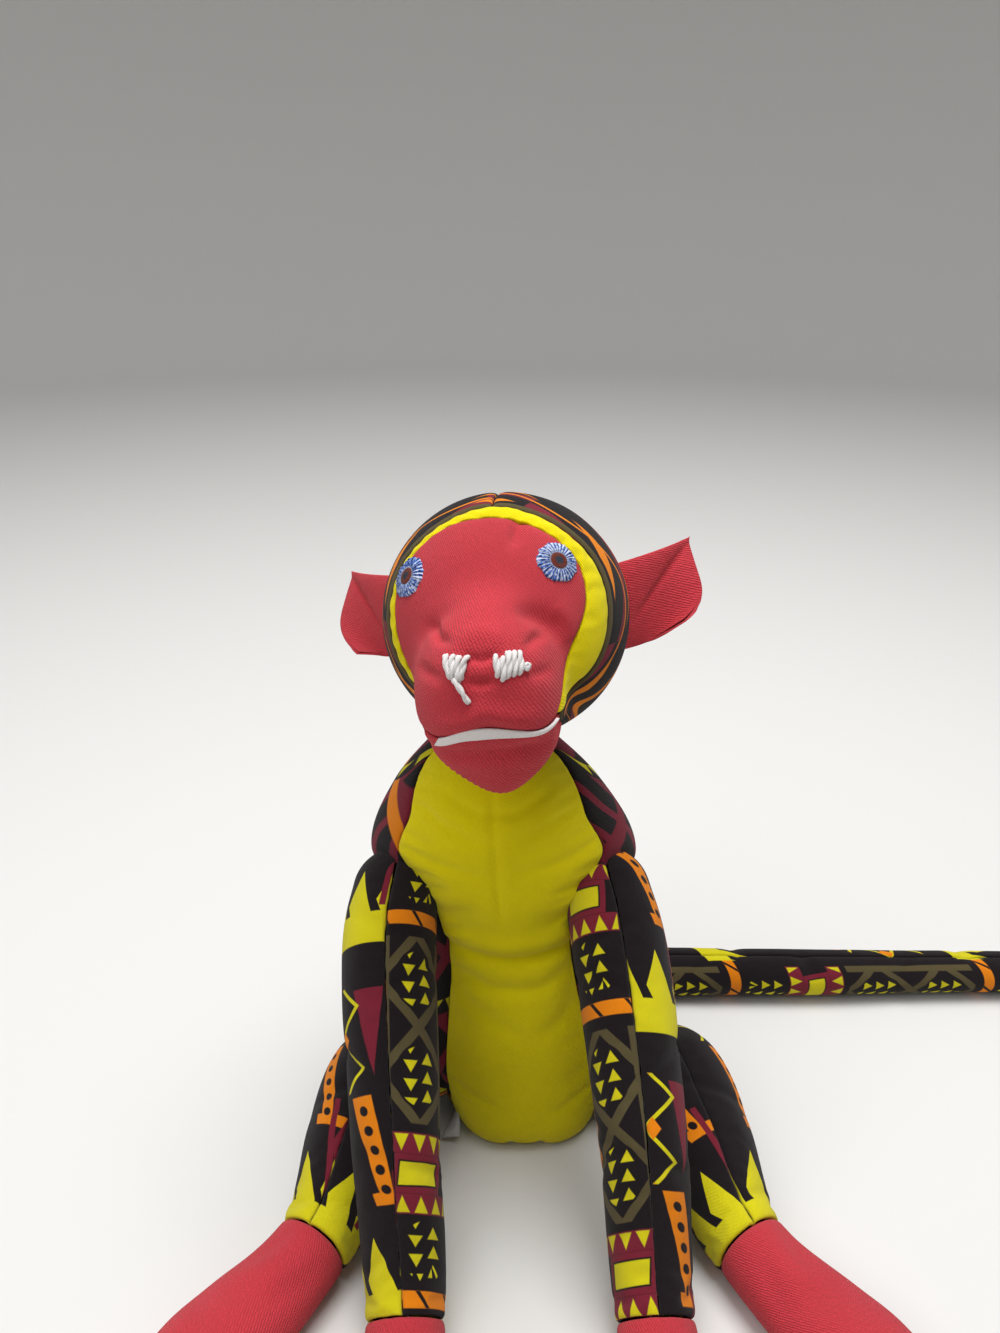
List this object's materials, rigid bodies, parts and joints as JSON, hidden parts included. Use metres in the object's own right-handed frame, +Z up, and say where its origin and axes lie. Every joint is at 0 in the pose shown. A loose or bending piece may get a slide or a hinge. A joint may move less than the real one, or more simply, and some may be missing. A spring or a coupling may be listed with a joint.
{
  "type": "plush monkey",
  "caption": "Sitting cloth monkey sewn from printed, yellow and red cotton over fibre stuffing, with jointed head, ears, arms, legs and a long tail.",
  "frame": {"origin": "on the ground, in the middle of the flat seat", "axes": "+Z up; the toy faces -Y; its own left side, and the end of its tail, are towards +X"},
  "size_m": [0.4266, 0.2209, 0.2606],
  "materials": {
    "printed_cotton": "plain-woven printed cotton, dark ground with orange, maroon, olive and yellow figures",
    "yellow_twill": "plain yellow cotton twill",
    "red_twill": "plain red cotton twill",
    "eye_thread": "blue and white embroidery thread",
    "white_yarn": "white wool yarn",
    "white_felt": "white wool felt",
    "white_ribbon": "plain white ribbon",
    "fibre_fill": "loose white fibre"
  },
  "bodies": {
    "torso": {"belly_panel": "yellow_twill", "back_panel_left": "printed_cotton", "back_panel_right": "printed_cotton", "torso_stuffing": "fibre_fill", "sewn_label": "white_ribbon"},
    "head": {"face_panel": "red_twill", "face_border": "yellow_twill", "chin_panel": "red_twill", "hood_left": "printed_cotton", "hood_right": "printed_cotton", "head_stuffing": "fibre_fill", "eye_left": "eye_thread", "eye_right": "eye_thread", "nostril_left": "white_yarn", "nostril_right": "white_yarn", "mouth_strip": "white_felt"},
    "ear_left": {"ear_left_front": "red_twill", "ear_left_back": "red_twill"},
    "arm_left": {"arm_left_outer": "printed_cotton", "arm_left_inner": "printed_cotton", "hand_left": "red_twill", "arm_left_stuffing": "fibre_fill"},
    "leg_left": {"leg_left_outer": "printed_cotton", "leg_left_inner": "printed_cotton", "foot_left": "red_twill", "leg_left_stuffing": "fibre_fill"},
    "ear_right": {"ear_right_front": "red_twill", "ear_right_back": "red_twill"},
    "arm_right": {"arm_right_outer": "printed_cotton", "arm_right_inner": "printed_cotton", "hand_right": "red_twill", "arm_right_stuffing": "fibre_fill"},
    "leg_right": {"leg_right_outer": "printed_cotton", "leg_right_inner": "printed_cotton", "foot_right": "red_twill", "leg_right_stuffing": "fibre_fill"},
    "tail": {"tail_rear": "printed_cotton", "tail_front": "printed_cotton", "tail_stuffing": "fibre_fill"}
  },
  "joints": [
    {"name": "head_nod", "type": "hinge", "parent": "torso", "child": "head", "pos_m": [-0.01392, 0, 0.173], "axis": [1, 0, 0], "range_deg": [-15, 18]},
    {"name": "ear_left_bend", "type": "hinge", "parent": "head", "child": "ear_left", "pos_m": [0.03262, -0.01101, 0.22375], "axis": [-0.0763, 0.1727, 0.982], "range_deg": [-30, 30], "stiffness_Nm_per_rad": 0.01},
    {"name": "ear_right_bend", "type": "hinge", "parent": "head", "child": "ear_right", "pos_m": [-0.0497, -0.00231, 0.21583], "axis": [0.0763, -0.1727, -0.982], "range_deg": [-30, 30], "stiffness_Nm_per_rad": 0.01},
    {"name": "arm_left_lift", "type": "hinge", "parent": "torso", "child": "arm_left", "pos_m": [0.03172, -0.01726, 0.11072], "axis": [-1, 0, 0], "range_deg": [0, 52]},
    {"name": "arm_right_lift", "type": "hinge", "parent": "torso", "child": "arm_right", "pos_m": [-0.04954, -0.01726, 0.11072], "axis": [-1, 0, 0], "range_deg": [0, 52]},
    {"name": "leg_left_lift", "type": "hinge", "parent": "torso", "child": "leg_left", "pos_m": [0.0427, -0.01288, 0.02156], "axis": [-0.9135, -0.4067, 0], "range_deg": [0, 15]},
    {"name": "leg_right_lift", "type": "hinge", "parent": "torso", "child": "leg_right", "pos_m": [-0.0427, -0.01288, 0.02156], "axis": [-0.9135, 0.4067, 0], "range_deg": [0, 15]},
    {"name": "tail_swing", "type": "hinge", "parent": "torso", "child": "tail", "pos_m": [0, 0.03607, 0.01122], "axis": [0, 0, 1], "range_deg": [0, 90]}
  ]
}
